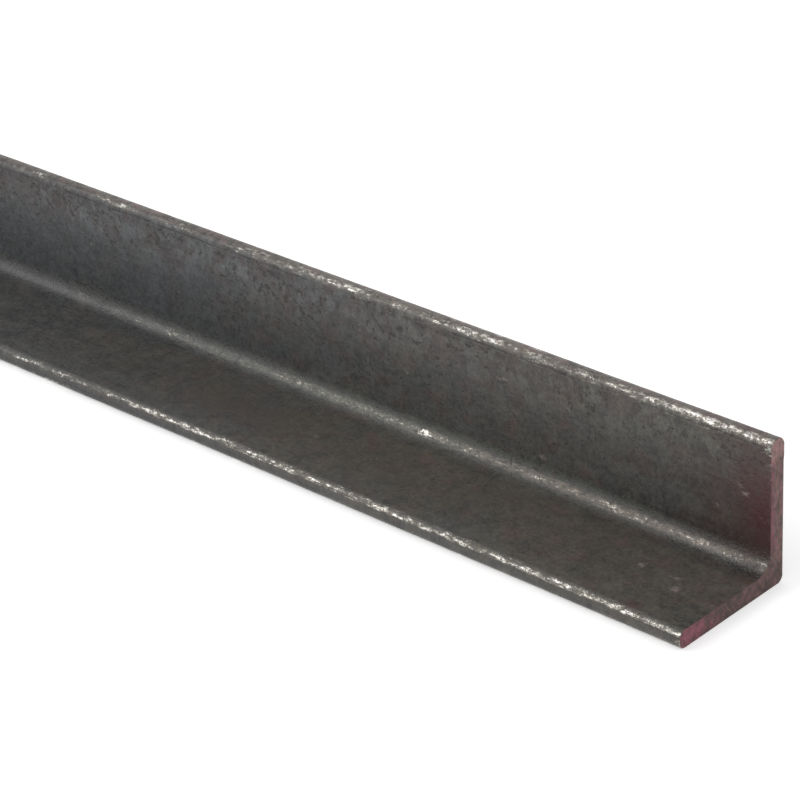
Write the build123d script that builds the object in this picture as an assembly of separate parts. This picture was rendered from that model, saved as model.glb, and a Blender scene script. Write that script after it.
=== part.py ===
from build123d import *
import os

# An equal-leg steel angle: one bar, hot rolled to an L-shaped section and cut to length.
# Millimetres, +Z up. The bar runs along X and lies on its flat leg; the other leg stands on the +Y side.
# The origin is on the floor, under the middle of the bar.

# Driving dimensions
bar_length = 304.8
leg_width = 25.4            # from the outside of the heel to the tip of either leg
leg_thickness = 3.175
root_radius = 3.175         # hollow corner where the legs meet inside
heel_radius = 1.25          # outer corner where the legs meet
toe_inner_radius = 1.3      # tip of each leg, on the side that faces the hollow corner
toe_outer_radius = 1.3      # tip of each leg, on its outer side
end_break = 0.15            # fine bevel round each cut end, where its burr was taken off
toe_rounding_share = 0.48   # most of a leg's thickness that one of its tip's two roundings may take

# Places across the section, worked out from the driving dimensions
heel_y = leg_width / 2
tip_y = heel_y - leg_width
standing_leg_inner_y = heel_y - leg_thickness


def corner_at(section, y, z):
    """The corner of the flat section that is nearest to a place in its own plane."""
    return section.vertices().sort_by_distance((y, z, 0))[0]


def toe_radius(radius):
    """A rounding of a leg's tip, kept within its share of the leg's thickness."""
    return min(radius, toe_rounding_share * leg_thickness)


def square_cornered_section():
    """The L of the two legs, drawn with Y across and Z up, before its corners are rounded."""
    flat_leg = Rectangle(leg_width, leg_thickness, align=(Align.CENTER, Align.MIN))
    standing_leg = Rectangle(leg_thickness, leg_width, align=(Align.MAX, Align.MIN))
    return flat_leg + Pos(heel_y, 0) * standing_leg


def rolled_section():
    """The section as the rolls leave it: a hollow root, a soft heel and rounded tips."""
    section = square_cornered_section()
    rounded_corners = [
        (standing_leg_inner_y, leg_thickness, root_radius),
        (heel_y, 0, heel_radius),
        (standing_leg_inner_y, leg_width, toe_radius(toe_inner_radius)),
        (tip_y, leg_thickness, toe_radius(toe_inner_radius)),
        (heel_y, leg_width, toe_radius(toe_outer_radius)),
        (tip_y, 0, toe_radius(toe_outer_radius)),
    ]
    for y, z, radius in rounded_corners:
        section = fillet(corner_at(section, y, z), radius)
    return section


def cut_bar():
    """The section run along X to the bar's length, with the edges of both cut ends finely bevelled."""
    bar = extrude(Plane.YZ * rolled_section(), amount=bar_length / 2, both=True)
    end_faces = bar.faces().filter_by(Plane.YZ)
    return chamfer(end_faces.edges(), end_break)


os.makedirs("parts", exist_ok=True)
angle_section = cut_bar()
angle_section.label = "angle_section"
export_step(angle_section, "parts/angle_section.step")
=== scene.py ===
"""A length of hot-rolled equal-leg steel angle, dressed and set on a pale studio floor.

The bar lies along X on its flat leg. Its other leg stands on the +Y side, and its painted cut end is at
+X. A point of its skin is given by two numbers. The distance is measured along the bar from the painted
end. The girth is measured round the section from the middle of the standing leg's tip, positive down the
inside of the angle and negative down its back. A name that ends in _mm is in millimetres, and so are the
numbers of the finishes; other lengths are in metres.
"""

from __future__ import annotations

import logging
import math
import random
import sys
from collections.abc import Callable
from dataclasses import dataclass, field
from enum import Enum

import bmesh
import bpy
import numpy as np
from mathutils import Color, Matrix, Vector, kdtree

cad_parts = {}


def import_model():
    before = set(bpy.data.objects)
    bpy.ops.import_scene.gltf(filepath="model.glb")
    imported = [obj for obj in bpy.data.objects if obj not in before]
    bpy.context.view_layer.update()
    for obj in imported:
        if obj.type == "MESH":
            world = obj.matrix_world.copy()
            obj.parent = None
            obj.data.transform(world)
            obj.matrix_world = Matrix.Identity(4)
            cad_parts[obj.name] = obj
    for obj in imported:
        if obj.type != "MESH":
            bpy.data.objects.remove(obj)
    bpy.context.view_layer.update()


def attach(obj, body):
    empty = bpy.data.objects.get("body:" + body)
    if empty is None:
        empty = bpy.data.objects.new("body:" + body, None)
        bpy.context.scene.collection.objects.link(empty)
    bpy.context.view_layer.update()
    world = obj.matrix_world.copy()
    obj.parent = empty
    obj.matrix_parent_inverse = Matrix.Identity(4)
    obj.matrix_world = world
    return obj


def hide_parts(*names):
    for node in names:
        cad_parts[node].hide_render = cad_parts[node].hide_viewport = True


MM = 0.001
HALF = 0.5
LEG_MM = 25.4
NODE = "angle_section"
BODY = "root"
SLOT = "rolled_steel"
BAKE_MAP = "OFBake"
QUAD = 4
TOUCHING = 1e-6
FACING = 0.9
NOISE_SWING = 0.22
WHITE = (1.0, 1.0, 1.0, 1.0)
Colour = tuple[float, float, float, float]
Triple = tuple[float, float, float]

log = logging.getLogger("angle")


def srgb(red: int, green: int, blue: int) -> Colour:
    """Turns a colour as a screen shows it into the linear colour that a shader takes.

    Args:
        red: Red, from 0 to 255.
        green: Green, from 0 to 255.
        blue: Blue, from 0 to 255.

    Returns:
        The linear red, green, blue and an alpha of 1.
    """
    return (*Color((red / 255, green / 255, blue / 255)).from_srgb_to_scene_linear(), 1.0)


# Shader maths


class Value:
    """A number that changes over the surface: an output socket whose arithmetic adds Math nodes."""

    def __init__(self, graph: Graph, socket: bpy.types.NodeSocket) -> None:
        """Wraps a socket of a graph."""
        self.graph = graph
        self.socket = socket

    def __add__(self, other: Value | float) -> Value:
        """Self plus other."""
        return self.graph.maths("ADD", self, other)

    def __radd__(self, other: float) -> Value:
        """A number plus self."""
        return self.graph.maths("ADD", other, self)

    def __sub__(self, other: Value | float) -> Value:
        """Self less other."""
        return self.graph.maths("SUBTRACT", self, other)

    def __rsub__(self, other: float) -> Value:
        """A number less self."""
        return self.graph.maths("SUBTRACT", other, self)

    def __mul__(self, other: Value | float) -> Value:
        """Self times other."""
        return self.graph.maths("MULTIPLY", self, other)

    def __rmul__(self, other: float) -> Value:
        """A number times self."""
        return self.graph.maths("MULTIPLY", other, self)

    def __abs__(self) -> Value:
        """Self without its sign."""
        return self.graph.maths("ABSOLUTE", self)

    def clamped(self) -> Value:
        """Self, kept between 0 and 1."""
        return self.graph.maths("MULTIPLY", self, 1.0, clamp=True)

    def most(self, other: Value | float) -> Value:
        """The larger of self and other."""
        return self.graph.maths("MAXIMUM", self, other)


@dataclass(frozen=True)
class Rise:
    """A smooth rise from 0 to 1.

    Attributes:
        nil: The number at which it is 0.
        full: The number at which it is 1, above or below the other.
    """

    nil: float
    full: float

    def at(self, value: Value) -> Value:
        """How far it has risen at a value."""
        inputs = {"Value": value, "From Min": self.nil, "From Max": self.full}
        made = value.graph.node("ShaderNodeMapRange", {"interpolation_type": "SMOOTHSTEP"}, inputs)
        return Value(value.graph, made.outputs[0])


@dataclass(frozen=True)
class Band:
    """A band with soft edges.

    Attributes:
        middle: The number at its middle.
        reach: How far from its middle it has faded to nothing.
        core: How far from its middle it begins to fade.
    """

    middle: float
    reach: float
    core: float

    def at(self, value: Value) -> Value:
        """How much of the band there is at a value."""
        return Rise(self.reach, self.core).at(abs(value - self.middle))


@dataclass(frozen=True)
class Area:
    """A soft-edged area of the skin where a number is more or less.

    Attributes:
        amount: How much more it is, or less where this is below 0.
        along: The part of the bar that the area covers, or None for all of it.
        around: What the area covers round the girth, or None for all of it.
    """

    amount: float
    along: Rise | None = None
    around: Rise | Band | None = None


@dataclass(frozen=True)
class Pattern:
    """Cloudy noise.

    Attributes:
        size: The size of its largest blotches.
        layers: How many finer layers it has.
        rough: How strong each finer layer is.
        drawn: How much longer it comes out along each axis.
        turn: How the axes are turned first, in radians.
    """

    size: float
    layers: float = 3.0
    rough: float = 0.6
    drawn: Triple = (1.0, 1.0, 1.0)
    turn: Triple = (0.0, 0.0, 0.0)


@dataclass(frozen=True)
class Sum:
    """A number that is made up of patterns and of areas of the skin.

    Attributes:
        start: What it is where all of them are 0.
        patterns: Each pattern, and how much of its noise goes in.
        areas: The areas that add to it.
    """

    start: float = 0.0
    patterns: tuple[tuple[Pattern, float], ...] = ()
    areas: tuple[Area, ...] = ()


@dataclass
class Surface:
    """What a point of the bar's skin is like.

    Attributes:
        colour: Its colour, or the socket that gives it.
        roughness: How blurred its shine is.
        metal: 1 on bare metal, 0 on scale, rust and paint.
        height: How far it stands up, in millimetres.
    """

    colour: object
    roughness: Value | float
    metal: Value | float
    height: Value | float


class Graph:
    """A node tree, with a method for each kind of node that the finishes use."""

    def __init__(self, owner: bpy.types.Material | bpy.types.World) -> None:
        """Takes the node tree of a material or a world and empties it."""
        owner.use_nodes = True
        self.tree = owner.node_tree
        self.tree.nodes.clear()

    def node(self, kind: str, settings: dict | None = None, inputs: dict | None = None) -> bpy.types.Node:
        """Adds a node.

        Args:
            kind: The node's type.
            settings: Its settings by name, made before its sockets are filled.
            inputs: A number, colour, Value or socket for each named or numbered input.

        Returns:
            The new node.
        """
        made = self.tree.nodes.new(kind)
        for name, setting in (settings or {}).items():
            setattr(made, name, setting)
        for key, given in (inputs or {}).items():
            source = given.socket if isinstance(given, Value) else given
            if isinstance(source, bpy.types.NodeSocket):
                self.tree.links.new(source, made.inputs[key])
            else:
                made.inputs[key].default_value = source
        return made

    def maths(self, operation: str, *terms: Value | float, clamp: bool = False) -> Value:
        """Adds a Math node on numbers and Values."""
        settings = {"operation": operation, "use_clamp": clamp}
        return Value(self, self.node("ShaderNodeMath", settings, dict(enumerate(terms))).outputs[0])

    def noise(self, place: bpy.types.NodeSocket, pattern: Pattern) -> Value:
        """Adds cloudy noise, spread over the whole of 0 to 1.

        Args:
            place: The point to read it at.
            pattern: What it is like.

        Returns:
            The noise, about 0.5 on average.
        """
        mapping = {"Vector": place, "Rotation": pattern.turn, "Scale": pattern.drawn}
        inputs = {
            "Vector": self.node("ShaderNodeMapping", {"vector_type": "TEXTURE"}, mapping).outputs[0],
            "Scale": 1 / (pattern.size * MM),
            "Detail": pattern.layers,
            "Roughness": pattern.rough,
        }
        raw = self.node("ShaderNodeTexNoise", {}, inputs).outputs["Fac"]
        spread = {"Value": raw, "From Min": HALF - NOISE_SWING, "From Max": HALF + NOISE_SWING}
        return Value(self, self.node("ShaderNodeMapRange", {"clamp": True}, spread).outputs[0])

    def blend(self, share: Value, under: object, over: object) -> bpy.types.NodeSocket:
        """Lays one colour over another.

        Args:
            share: How much of the upper colour shows.
            under: The lower colour or its socket.
            over: The upper colour or its socket.

        Returns:
            The mixed colour's socket.
        """
        return self.node("ShaderNodeMix", {"data_type": "RGBA"}, {0: share, 6: under, 7: over}).outputs[2]

    def blend_values(self, share: Value, under: Value | float, over: Value | float) -> Value:
        """Goes from one number to another as share goes from 0 to 1."""
        made = self.node("ShaderNodeMix", {"data_type": "FLOAT"}, {0: share, 2: under, 3: over})
        return Value(self, made.outputs[0])

    def shaded(self, colour: object, by: Value) -> bpy.types.NodeSocket:
        """A colour made lighter or darker by a factor."""
        grey = self.node("ShaderNodeCombineColor", {}, {0: by, 1: by, 2: by}).outputs[0]
        settings = {"data_type": "RGBA", "blend_type": "MULTIPLY"}
        return self.node("ShaderNodeMix", settings, {0: 1.0, 6: colour, 7: grey}).outputs[2]

    def lay(self, share: Value, under: Surface, over: Surface) -> Surface:
        """Lays one surface over another.

        Args:
            share: How much of the upper surface shows.
            under: The lower surface.
            over: The upper surface.

        Returns:
            The surface that the two make.
        """
        return Surface(
            self.blend(share, under.colour, over.colour),
            self.blend_values(share, under.roughness, over.roughness),
            self.blend_values(share, under.metal, over.metal),
            self.blend_values(share, under.height, over.height),
        )

    def show(self, surface: Surface, ior: float) -> None:
        """Ends the material with a surface.

        Args:
            surface: What each point is like.
            ior: The index of refraction of what isn't metal.
        """
        bump = self.node("ShaderNodeBump", {}, {"Height": surface.height, "Distance": MM, "Strength": 1.0})
        inputs = {
            "Base Color": surface.colour,
            "Roughness": surface.roughness,
            "Metallic": surface.metal,
            "Normal": bump.outputs[0],
            "IOR": ior,
        }
        shader = self.node("ShaderNodeBsdfPrincipled", {}, inputs)
        self.node("ShaderNodeOutputMaterial", {}, {"Surface": shader.outputs[0]})


class Field(Enum):
    """The numbers that the bar's mesh holds at each of its points, for its finish to read."""

    WEAR = "wear"
    SCUFF = "scuff"
    STAIN = "stain"
    HAZE = "haze"
    GIRTH = "girth"


class Chart:
    """Reads what a material needs to know of each point of the skin.

    Attributes:
        graph: The material's node tree.
        place: The point on the object, in metres.
        along: How far it is from the bar's middle towards the painted end, in millimetres.
        across: How far it is from the bar's middle towards the back, in millimetres.
        up: How far it is above the floor, in millimetres.
        girth: How far it is round the girth, in millimetres.
    """

    def __init__(self, graph: Graph) -> None:
        """Reads the point's place.

        Args:
            graph: The material's node tree.
        """
        self.graph = graph
        self.place = graph.node("ShaderNodeTexCoord").outputs["Object"]
        split = graph.node("ShaderNodeSeparateXYZ", {}, {0: self.place})
        self.along, self.across, self.up = (Value(graph, split.outputs[axis]) * (1 / MM) for axis in "XYZ")
        self.girth = self.field(Field.GIRTH)
        self.noises: dict[Pattern, Value] = {}

    def field(self, kind: Field) -> Value:
        """One of the numbers that the mesh holds."""
        made = self.graph.node("ShaderNodeAttribute", {"attribute_name": kind.value})
        return Value(self.graph, made.outputs["Fac"])

    def noise(self, pattern: Pattern) -> Value:
        """The noise of a pattern, whose nodes are added once."""
        if pattern not in self.noises:
            self.noises[pattern] = self.graph.noise(self.place, pattern)
        return self.noises[pattern]

    def given(self, area: Area) -> Value | float:
        """What an area adds."""
        shapes = ((area.along, self.along), (area.around, self.girth))
        return math.prod((shape.at(way) for shape, way in shapes if shape), start=area.amount)

    def total(self, parts: Sum) -> Value | float:
        """What a sum comes to."""
        weighed = [self.noise(pattern) * weight for pattern, weight in parts.patterns]
        return sum(weighed + [self.given(area) for area in parts.areas], start=parts.start)


# Places on the skin: parts of the bar by their distance from its middle, and round the girth

FAR_PART = Rise(80.0, -10.0)
PAINTED_PART = Rise(112.0, 150.0)
LAST_PART = Rise(140.0, 150.0)
LYING_LEG = Rise(23.0, 27.0)
FLAT_TIP_FRONT = Rise(44.6, 45.6)

# How far the skin above the root stands up near the painted end, where it leans to the flat leg

LEAN = Area(0.24, PAINTED_PART, Rise(6.0, 18.0))
LEAN_FOOT = Rise(23.6, 19.6)


def lean(chart: Chart) -> Value:
    """How far the lean raises the skin, in millimetres."""
    return chart.given(LEAN) * LEAN_FOOT.at(chart.girth)


# Finishes of the steel


@dataclass(frozen=True)
class Patches:
    """Scattered patches of another colour in the scale.

    Attributes:
        colour: Their colour.
        pattern: The noise that they follow.
        level: The noise at which a patch begins and at which it is full.
        share: How much of the colour shows.
        more: What is added to the noise, to widen them.
        pale: What the pale part of the scale adds to it.
        calm: How much less of the colour shows where the scale is calm.
    """

    colour: Colour
    pattern: Pattern
    level: Rise
    share: Sum = Sum(1.0)
    more: Sum = Sum()
    pale: Sum = Sum()
    calm: float = 0.0


@dataclass(frozen=True)
class MillScale:
    """The hard grey oxide that hot rolling leaves: bluish where it is whole, brown where rust has begun.

    Attributes:
        cool: The colour of whole scale.
        warm: The colour of scale under a film of rust.
        clean: Painted light: the paler colour that the scale is drawn in high on the standing leg.
        painted_light_warm: The same nearer the painted end.
        hollow: The greenish colour of the scale in the root.
        crown: The colour of the standing leg's tip, where hands and slings have dirtied it.
        crust: The colour of the crust that lies along the middle of the root.
        crust_green: The same further from the painted end.
        stained: The colour of an old wet stain.
        scuffed: The colour of scale that something has scraped.
        ior: The index of refraction of the oxide.
        tint: The cool and warm areas.
        patchy: The smaller areas within them.
        cloud: The blotches.
        patch: The small blotches.
        grain: The grain.
        fine: The finest grain.
        streak: The streaks along the bar.
        scrape: The strokes within a scuff.
        plums: The brown-violet patches that have begun to rust.
        flakes: The small patches beside the tip where the scale is thin.
        flaked: How pale the scale is where those begin and where they are full.
        holes: The holes in the crust.
        dirt: The rusty patches on the standing leg's tip.
        flecks: The spots where the scale has flaked.
        rust: The specks of rust.
        pale_areas: Where the scale is drawn pale, as painted light.
        pale_mix: How pale it is there.
        pale_shown: How much of its colour shows.
        pale_drift: How much nearer the painted end a point counts, for the pale colour.
        pale_warming: Where the pale colour turns warm.
        drift: How much nearer the painted end a point counts, for the warmth.
        warming: Where the scale turns warm.
        warm_share: How warm it can be.
        warm_least: How warm it is at the least.
        hollow_area: Where the greenish colour lies.
        crown_band: Where the dirtied tip lies.
        crust_band: Where the crust lies.
        crust_part: Where along the bar it begins.
        crust_mix: The pattern of its ragged edge.
        crust_level: Where in that pattern the crust begins and is full.
        crust_edge: The same for how far it can reach.
        crust_shown: How much of its colour shows.
        crust_warming: Where it turns from greenish to brown.
        mottle: How the patterns make the scale lighter and darker.
        contrast: How strongly they do.
        pale_contrast: How much more strongly where it is pale.
        light: How light the scale is at each place. Most of it is painted light and shade: the scale is drawn
        darker towards the far end, as the light falls off, and beside and along the root's shine.
        stain_mix: How strong a stain is.
        stain_shown: How much of its colour shows.
        scuff_strokes: How strongly the strokes break a scuff up.
        scuff_level: Where a scuff begins and is full.
        scuff_shown: How much of its colour shows.
        tip_line: The dark line beside the tip.
        root_line: The painted shadow line at the foot of the root.
        root_line_share: How strong that one is.
        tip_gaps: How the streaks break the tip's line up.
        root_gaps: How they break the root's line up.
        dark_line_shade: How dark the lines are.
        dark_line_depth: How deep they are.
        fleck_depth: How deep a fleck is.
        roughness: How blurred the shine is.
        rougher: How much more under a stain, on a fleck and on the crust.
        relief: How the grain stands up.
        relief_share: How strongly.
        relief_patch: How far the small blotches stand up beside it.
        relief_size: How far all of it stands up.
    """

    cool: Colour = srgb(58, 61, 63)
    warm: Colour = srgb(65, 61, 53)
    # Painted light: the scale is drawn paler high on the standing leg, warmer nearer the painted end.
    clean: Colour = srgb(89, 90, 91)
    painted_light_warm: Colour = srgb(90, 88, 80)
    hollow: Colour = srgb(51, 53, 46)
    crown: Colour = srgb(78, 71, 63)
    crust: Colour = srgb(94, 82, 73)
    crust_green: Colour = srgb(84, 85, 76)
    stained: Colour = srgb(50, 41, 34)
    scuffed: Colour = srgb(130, 117, 112)
    ior: float = 1.63
    tint: Pattern = Pattern(22.0, rough=0.55)
    patchy: Pattern = Pattern(22.0 / 3, rough=0.55)
    cloud: Pattern = Pattern(5.0, 4.0)
    patch: Pattern = Pattern(5.0 / 2.4, 4.0, 0.65, (1.0, 1.15, 1.15))
    grain: Pattern = Pattern(0.7, 3.0, 0.65, (1.0, 1.15, 1.15))
    fine: Pattern = Pattern(0.7 / 2.5, 2.0, 0.55)
    streak: Pattern = Pattern(0.7, drawn=(16.0, 1.0, 1.0))
    scrape: Pattern = Pattern(0.5, drawn=(2.5, 1.0, 1.0), turn=(0.0, 0.6, 0.0))
    plums: Patches = Patches(
        srgb(70, 53, 49), Pattern(4.2), Rise(0.52, 0.86), Sum(0.5), pale=Sum(0.14), calm=0.4
    )
    flakes: Patches = Patches(
        srgb(56, 48, 47), Pattern(2.3, 3.0, 0.5, (1.0, 1.5, 1.5)), Rise(0.6, 0.66), Sum(0.6), pale=Sum(0.06)
    )
    flaked: Rise = Rise(0.15, 0.6)
    holes: Patches = Patches(
        srgb(30, 27, 26),
        Pattern(0.75, 2.0, 0.5, (2.2, 1.0, 1.0)),
        Rise(0.6, 0.72),
        share=Sum(0.75, areas=(Area(0.15, LAST_PART),)),
        more=Sum(areas=(Area(0.07, LAST_PART),)),
    )
    dirt: Patches = Patches(srgb(84, 64, 61), Pattern(1.8, drawn=(2.2, 1.0, 1.0)), Rise(0.46, 0.74))
    flecks: Patches = Patches(
        srgb(30, 27, 26),
        Pattern(1.2, drawn=(1.0, 1.15, 1.15)),
        Rise(0.86, 1.12),
        share=Sum(0.85, areas=(Area(-0.45, around=LYING_LEG),)),
        more=Sum(patterns=((Pattern(11.0, 2.0, 0.55), 0.3),)),
        pale=Sum(0.14, areas=(Area(0.06, FAR_PART),)),
    )
    rust: Patches = Patches(
        srgb(74, 50, 40),
        Pattern(2.0, 4.0, 0.65),
        Rise(0.8, 1.2),
        share=Sum(0.4),
        more=Sum(patterns=((tint, 0.25),)),
        calm=0.25,
    )
    # Painted light: the scale is drawn paler, in blotches, high on the inside and on the back of the standing
    # leg.
    pale_areas: tuple[Area, Area] = (
        Area(1.0, around=Band(2.5, 10.0, 2.0)),
        Area(0.55, around=Band(-12.0, 14.0, 6.0)),
    )
    pale_mix: Sum = Sum(0.62, ((cloud, 0.36),))
    pale_shown: float = 0.75
    pale_drift: Sum = Sum(patterns=((tint, 40.0),))
    pale_warming: Rise = Rise(60.0, 150.0)
    drift: Sum = Sum(
        -75.0,
        ((tint, 60.0), (patchy, 100.0), (cloud, 50.0)),
        (Area(45.0, around=Rise(19.0, 27.0)), Area(-35.0, around=Rise(31.0, 41.0))),
    )
    warming: Rise = Rise(10.0, 170.0)
    warm_share: Sum = Sum(0.6, areas=(Area(0.4, around=LYING_LEG),))
    warm_least: Sum = Sum(areas=(Area(0.4, around=LYING_LEG), Area(0.2, around=FLAT_TIP_FRONT)))
    hollow_area: Area = Area(0.65, around=Band(22.0, 2.8, 1.0))
    crown_band: Band = Band(-0.6, 2.4, 1.0)
    crust_band: Band = Band(22.5, 1.05, 0.5)
    crust_part: Rise = Rise(0.0, 75.0)
    crust_mix: Sum = Sum(-0.45, ((patch, 0.9),))
    crust_level: Rise = Rise(0.3, 0.75)
    crust_edge: Rise = Rise(0.0, 0.3)
    crust_shown: float = 0.75
    crust_warming: Rise = Rise(70.0, 118.0)
    mottle: Sum = Sum(-1.06, ((cloud, 0.42), (patch, 0.72), (grain, 0.78), (streak, 0.2)))
    contrast: Sum = Sum(1.0, areas=(Area(0.5, around=FLAT_TIP_FRONT),))
    pale_contrast: float = 0.15
    # Painted light and shade: darker towards the far end, as the light falls off, and beside and along the
    # root's shine.
    light: Sum = Sum(
        0.99,
        areas=(
            Area(-0.08, FAR_PART),
            Area(-0.32, FAR_PART, LYING_LEG),
            Area(-0.62, FAR_PART, FLAT_TIP_FRONT),
            Area(-0.6, FAR_PART, Band(22.6, 3.0, 1.0)),
            Area(-0.35, FAR_PART, Band(1.5, 1.6, 0.6)),
            Area(-0.27, around=FLAT_TIP_FRONT),
            Area(0.17, around=LYING_LEG),
            Area(-0.24, around=Rise(31.0, 38.0)),
            Area(-0.42, PAINTED_PART, Band(20.1, 2.6, 1.2)),
            Area(-0.4, PAINTED_PART, Band(24.8, 2.6, 1.2)),
            Area(-0.25, PAINTED_PART, Band(9.0, 8.0, 3.0)),
            Area(-0.36, LAST_PART, Band(23.8, 1.8, 0.8)),
            Area(-0.3, LAST_PART, Band(40.5, 5.0, 2.5)),
            Area(0.5, LAST_PART, FLAT_TIP_FRONT),
            Area(-0.4, Rise(25.0, -25.0), Band(22.9, 1.3, 0.5)),
            Area(-0.3, Rise(92.0, 72.0), FLAT_TIP_FRONT),
        ),
    )
    stain_mix: Sum = Sum(0.3, ((cloud, 1.4),))
    stain_shown: float = 0.7
    scuff_strokes: Sum = Sum(-0.4, ((scrape, 0.8),))
    scuff_level: Rise = Rise(0.35, 1.0)
    scuff_shown: float = 0.75
    # The dark line beside the tip, and the painted shadow line at the foot of the root.
    tip_line: Band = Band(2.3, 0.36, 0.1)
    root_line: Band = Band(25.6, 0.6, 0.1)
    root_line_share: float = 0.5
    tip_gaps: Rise = Rise(0.2, 0.9)
    root_gaps: Rise = Rise(0.5, 0.9)
    dark_line_shade: float = 0.6
    dark_line_depth: float = 0.06
    fleck_depth: float = 0.03
    roughness: Sum = Sum(
        0.3, ((cloud, 0.06), (grain, 0.1)), (Area(-0.11, PAINTED_PART, Band(22.5, 4.5, 2.0)),)
    )
    rougher: Triple = (0.1, 0.08, 0.1)
    relief: Sum = Sum(patterns=((grain, 0.55), (fine, 0.3), (streak, 0.15)))
    relief_share: Sum = Sum(
        0.65,
        areas=(
            Area(1.5, around=Band(22.5, 3.6, 1.0)),
            Area(1.6, LAST_PART, Band(22.5, 3.6, 1.0)),
            Area(2.5, around=Band(1.2, 3.0, 1.0)),
            Area(2.5, around=Band(44.2, 2.0, 0.8)),
        ),
    )
    relief_patch: Sum = Sum(patterns=((patch, 0.9),))
    relief_size: float = 0.035


class ScaleLayer:
    """Works the mill scale out at each point of the skin.

    Attributes:
        chart: Where the point is.
        scale: What the scale is like.
        pale: How far painted light makes the scale pale.
        calm: How little it has rusted.
        crust: How much of the root's crust there is.
        fleck: How much of a fleck there is.
        stain: How much of a stain there is.
        dark_line: How much of a dark line there is; the one at the root's foot is a painted shadow line.
    """

    def __init__(self, chart: Chart, scale: MillScale) -> None:
        """Works out what more than one step uses.

        Args:
            chart: Where the point is.
            scale: What the scale is like.
        """
        self.chart, self.scale, self.graph = chart, scale, chart.graph
        # The painted light that draws the scale pale high on the standing leg.
        inside, behind = (chart.given(area) for area in scale.pale_areas)
        self.pale = inside.most(behind) * chart.total(scale.pale_mix)
        self.calm = FAR_PART.at(chart.along) * (1 - self.pale.clamped())
        reach = scale.crust_band.at(chart.girth) * scale.crust_part.at(chart.along)
        self.crust = scale.crust_level.at(reach + chart.total(scale.crust_mix)) * scale.crust_edge.at(reach)
        self.fleck = self.found(scale.flecks)
        self.stain = (chart.field(Field.STAIN) * chart.total(scale.stain_mix)).clamped()
        # The dark lines; the one at the foot of the root is a painted shadow line.
        streak = chart.noise(scale.streak)
        root_line = scale.root_line.at(chart.girth) * scale.root_gaps.at(streak) * scale.root_line_share
        self.dark_line = (scale.tip_line.at(chart.girth) * scale.tip_gaps.at(streak)).most(root_line)

    def found(self, kind: Patches) -> Value:
        """How much of a patch of one kind there is."""
        noise = self.chart.noise(kind.pattern) + self.chart.total(kind.more)
        return kind.level.at(noise + self.pale * self.chart.total(kind.pale))

    def spread(self, kind: Patches, colour: object, found: Value) -> bpy.types.NodeSocket:
        """Lays patches of one kind, as they are found, over a colour."""
        share = self.chart.total(kind.share) - self.calm * kind.calm
        return self.graph.blend(found * share, colour, kind.colour)

    def surface(self) -> Surface:
        """The scale as a whole.

        Returns:
            Its surface.
        """
        scale, chart = self.scale, self.chart
        stain_rough, fleck_rough, crust_rough = scale.rougher
        rougher = self.stain * stain_rough + self.fleck * fleck_rough + self.crust * crust_rough
        relief = chart.total(scale.relief) * chart.total(scale.relief_share) + chart.total(scale.relief_patch)
        height = relief * scale.relief_size + lean(chart) - self.fleck * scale.fleck_depth
        height = height - self.dark_line * scale.dark_line_depth
        colour = self.spotted(self.shaded(self.crusted(self.tinted())))
        return Surface(colour, rougher + chart.total(scale.roughness), 0.0, height)

    def tinted(self) -> bpy.types.NodeSocket:
        """The scale's colours: cool and warm, the painted light that makes it pale, and its violet and thin
        patches.

        Returns:
            Their socket.
        """
        scale, chart, graph = self.scale, self.chart, self.graph
        warmth = scale.warming.at(chart.along + chart.total(scale.drift)) * chart.total(scale.warm_share)
        colour = graph.blend(warmth.most(chart.total(scale.warm_least)), scale.cool, scale.warm)
        # Painted light: the paler colour high on the standing leg, warmer nearer the painted end.
        warmed = scale.pale_warming.at(chart.along + chart.total(scale.pale_drift))
        clean = graph.blend(warmed, scale.clean, scale.painted_light_warm)
        colour = graph.blend(self.pale.clamped() * scale.pale_shown, colour, clean)
        colour = self.spread(scale.plums, colour, self.found(scale.plums))
        return self.spread(scale.flakes, colour, self.found(scale.flakes) * scale.flaked.at(self.pale))

    def crusted(self, colour: object) -> bpy.types.NodeSocket:
        """Lays the root's greenish scale and crust and the standing leg's dirty tip over a colour.

        Args:
            colour: The colour.

        Returns:
            The socket of what it becomes.
        """
        scale, chart, graph = self.scale, self.chart, self.graph
        colour = graph.blend(chart.given(scale.hollow_area), colour, scale.hollow)
        crust = graph.blend(scale.crust_warming.at(chart.along), scale.crust_green, scale.crust)
        colour = graph.blend(self.crust * scale.crust_shown, colour, crust)
        colour = self.spread(scale.holes, colour, self.found(scale.holes) * self.crust)
        crown = self.spread(scale.dirt, scale.crown, self.found(scale.dirt))
        return graph.blend(scale.crown_band.at(chart.girth), colour, crown)

    def shaded(self, colour: object) -> bpy.types.NodeSocket:
        """Makes a colour lighter and darker: by the mottle, and place by place by painted light and shade."""
        scale, chart = self.scale, self.chart
        contrast = self.pale * scale.pale_contrast + chart.total(scale.contrast)
        return self.graph.shaded(colour, chart.total(scale.mottle) * contrast + chart.total(scale.light))

    def spotted(self, colour: object) -> bpy.types.NodeSocket:
        """Lays the flecks, the rust, the stains and the dark lines, the root's a painted shadow, over a
        colour.

        Args:
            colour: The colour.

        Returns:
            The socket of what it becomes.
        """
        scale = self.scale
        colour = self.spread(scale.flecks, colour, self.fleck)
        colour = self.spread(scale.rust, colour, self.found(scale.rust))
        colour = self.graph.blend(self.stain * scale.stain_shown, colour, scale.stained)
        # Darkens the dark lines; the one at the root's foot is painted shadow.
        return self.graph.shaded(colour, 1 - self.dark_line * scale.dark_line_shade)

    def scuffed(self, skin: Surface) -> Surface:
        """Lays pale strokes over the skin where something has scraped it.

        Args:
            skin: The skin before.

        Returns:
            The scuffed skin.
        """
        scale, chart = self.scale, self.chart
        scuff = scale.scuff_level.at(chart.field(Field.SCUFF) + chart.total(scale.scuff_strokes))
        colour = self.graph.blend(scuff * scale.scuff_shown, skin.colour, scale.scuffed)
        return Surface(colour, skin.roughness, skin.metal, skin.height)


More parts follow.
